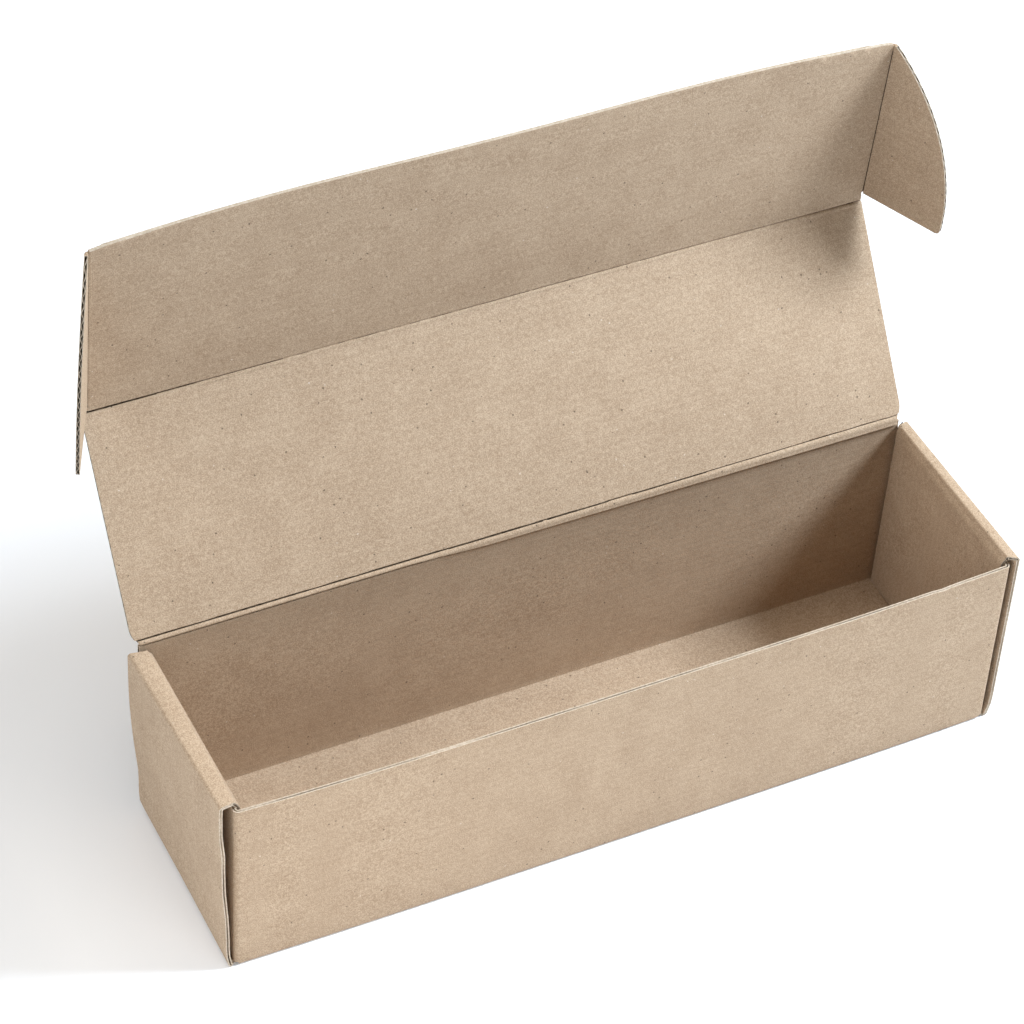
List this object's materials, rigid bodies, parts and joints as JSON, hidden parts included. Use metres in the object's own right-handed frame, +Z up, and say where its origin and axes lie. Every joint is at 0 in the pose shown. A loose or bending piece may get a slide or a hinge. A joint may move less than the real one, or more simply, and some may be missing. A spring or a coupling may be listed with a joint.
{
  "type": "bottle shipping box",
  "caption": "Long corrugated board box for one bottle, with rolled ends, a hinged lid and a tuck flap with curved ears.",
  "frame": {"origin": "middle of the underside of the base", "axes": "+X along the box, +Y from the front wall to the hinged back wall, +Z up out of the open tray"},
  "size_m": [0.3877, 0.1481, 0.2632],
  "materials": {
    "kraft_board": "uncoated recycled kraft liner"
  },
  "bodies": {
    "tray": {"tray": "kraft_board"},
    "lid": {"lid": "kraft_board"},
    "tuck_flap": {"tuck_flap": "kraft_board"},
    "ear_right": {"ear_right": "kraft_board"},
    "ear_left": {"ear_left": "kraft_board"}
  },
  "joints": [
    {"name": "lid_hinge", "type": "hinge", "parent": "tray", "child": "lid", "pos_m": [0, 0.0464, 0.0966], "axis": [1, 0, 0], "range_deg": [-55.94, 124.06]},
    {"name": "tuck_crease", "type": "hinge", "parent": "lid", "child": "tuck_flap", "pos_m": [0, 0.10011, 0.17605], "axis": [1, 0, 0], "range_deg": [-38.98, 51.02]},
    {"name": "ear_right_crease", "type": "hinge", "parent": "tuck_flap", "child": "ear_right", "pos_m": [0.1757, 0.10011, 0.17605], "axis": [0, 0.0858, -0.9963], "range_deg": [-62.49, 27.51]},
    {"name": "ear_left_crease", "type": "hinge", "parent": "tuck_flap", "child": "ear_left", "pos_m": [-0.1757, 0.10011, 0.17605], "axis": [0, -0.0858, 0.9963], "range_deg": [-64.35, 25.65]}
  ]
}
